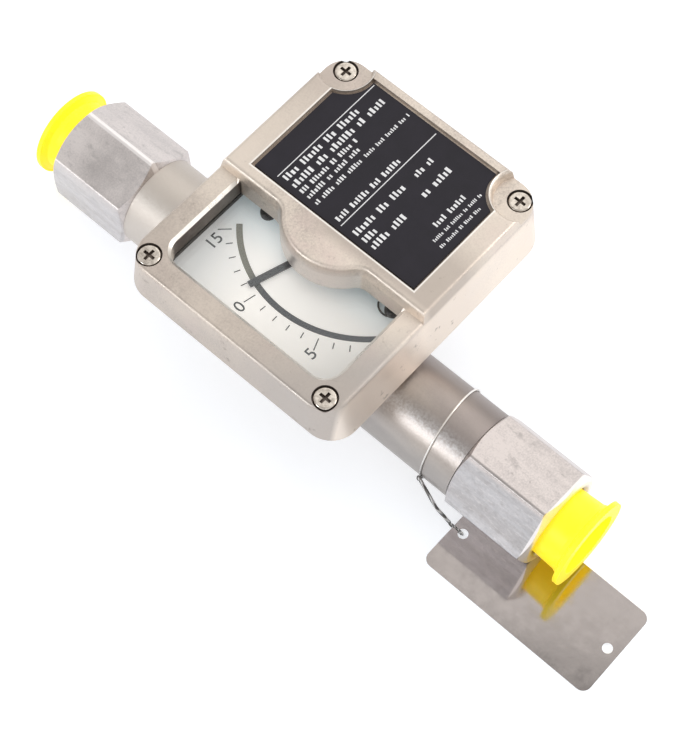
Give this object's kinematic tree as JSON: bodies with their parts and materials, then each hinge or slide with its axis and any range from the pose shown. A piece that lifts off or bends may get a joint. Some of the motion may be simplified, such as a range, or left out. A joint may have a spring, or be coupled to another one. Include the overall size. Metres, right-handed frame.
{
  "type": "rotameter",
  "caption": "Metal-tube rotameter with hexagon taper ports, a square side indicator with dial and pointer, yellow port plugs and a wired tag",
  "frame": {"origin": "inlet port mouth, on the pipe axis", "axes": "+X to the right of the dial seen from the front, +Y along the pipe from inlet to outlet, +Z out of the dial face"},
  "size_m": [0.0834, 0.2045, 0.0481],
  "materials": {
    "cast_steel": "satin as-cast stainless steel",
    "tube_steel": "fine-turned satin stainless steel",
    "fitting_steel": "milled hexagon bar, lightly scratched",
    "turned_steel": "turned",
    "screw_steel": "bright",
    "wire_steel": "twisted wire",
    "tag_mirror": "mirror polished",
    "label_black": "satin print",
    "window_glass": "clear",
    "dial_white": "matt white paint, black print",
    "dark_plastic": "matt",
    "dark_screw": "blackened",
    "pointer_dark": "matt black paint",
    "brass": "turned",
    "jewel": "polished",
    "magnet": "bare",
    "seal_rubber": "matt",
    "plug_yellow": "satin, slightly translucent"
  },
  "bodies": {
    "meter": {"inlet_adapter": "fitting_steel", "outlet_adapter": "fitting_steel", "inlet_o_ring": "seal_rubber", "outlet_o_ring": "seal_rubber", "meter_tube": "tube_steel", "metering_sleeve": "turned_steel", "inlet_guide": "turned_steel", "outlet_guide": "turned_steel", "guide_rod": "turned_steel", "inlet_stop": "turned_steel", "outlet_stop": "turned_steel", "tube_saddle": "cast_steel", "housing_base": "cast_steel", "saddle_screws": "screw_steel", "cover_gasket": "seal_rubber", "cover": "cast_steel", "cover_screws": "screw_steel", "label_plate": "label_black", "window_glass": "window_glass", "window_retainer": "dark_plastic", "dial_plate": "dial_white", "dial_screws": "dark_screw", "lower_jewel": "jewel", "bearing_bridge": "turned_steel", "bridge_screws": "screw_steel", "upper_jewel": "jewel", "tag_wire": "wire_steel"},
    "float_unit": {"float": "turned_steel", "float_magnet": "magnet", "float_cap": "turned_steel"},
    "pointer_unit": {"pointer": "pointer_dark", "pointer_hub": "brass", "pointer_shaft": "turned_steel", "follower_magnet": "magnet", "counterweight": "brass"},
    "inlet_plug_body": {"inlet_plug": "plug_yellow"},
    "outlet_plug_body": {"outlet_plug": "plug_yellow"},
    "tag_body": {"tag": "tag_mirror"}
  },
  "joints": [
    {"name": "float_slide", "type": "slide", "parent": "meter", "child": "float_unit", "axis": [0, 1, 0], "range_m": [-0.02499, 0.01206]},
    {"name": "pointer_turn", "type": "hinge", "parent": "meter", "child": "pointer_unit", "pos_m": [0.0227, 0.0852, 0], "axis": [0, 0, 1], "range_deg": [-30.77, 63.74]},
    {"name": "inlet_plug_pull", "type": "slide", "parent": "meter", "child": "inlet_plug_body", "axis": [0, -1, 0], "range_m": [0, 0.014]},
    {"name": "outlet_plug_pull", "type": "slide", "parent": "meter", "child": "outlet_plug_body", "axis": [0, 1, 0], "range_m": [0, 0.016]},
    {"name": "tag_swing", "type": "hinge", "parent": "meter", "child": "tag_body", "pos_m": [-0.014, 0.0189, -0.0148], "axis": [0, 0, 1], "range_deg": [-30, 10]}
  ],
  "couplings": [
    {"joint": "pointer_turn", "follows": "float_slide", "rad_per_m": -44.506}
  ]
}
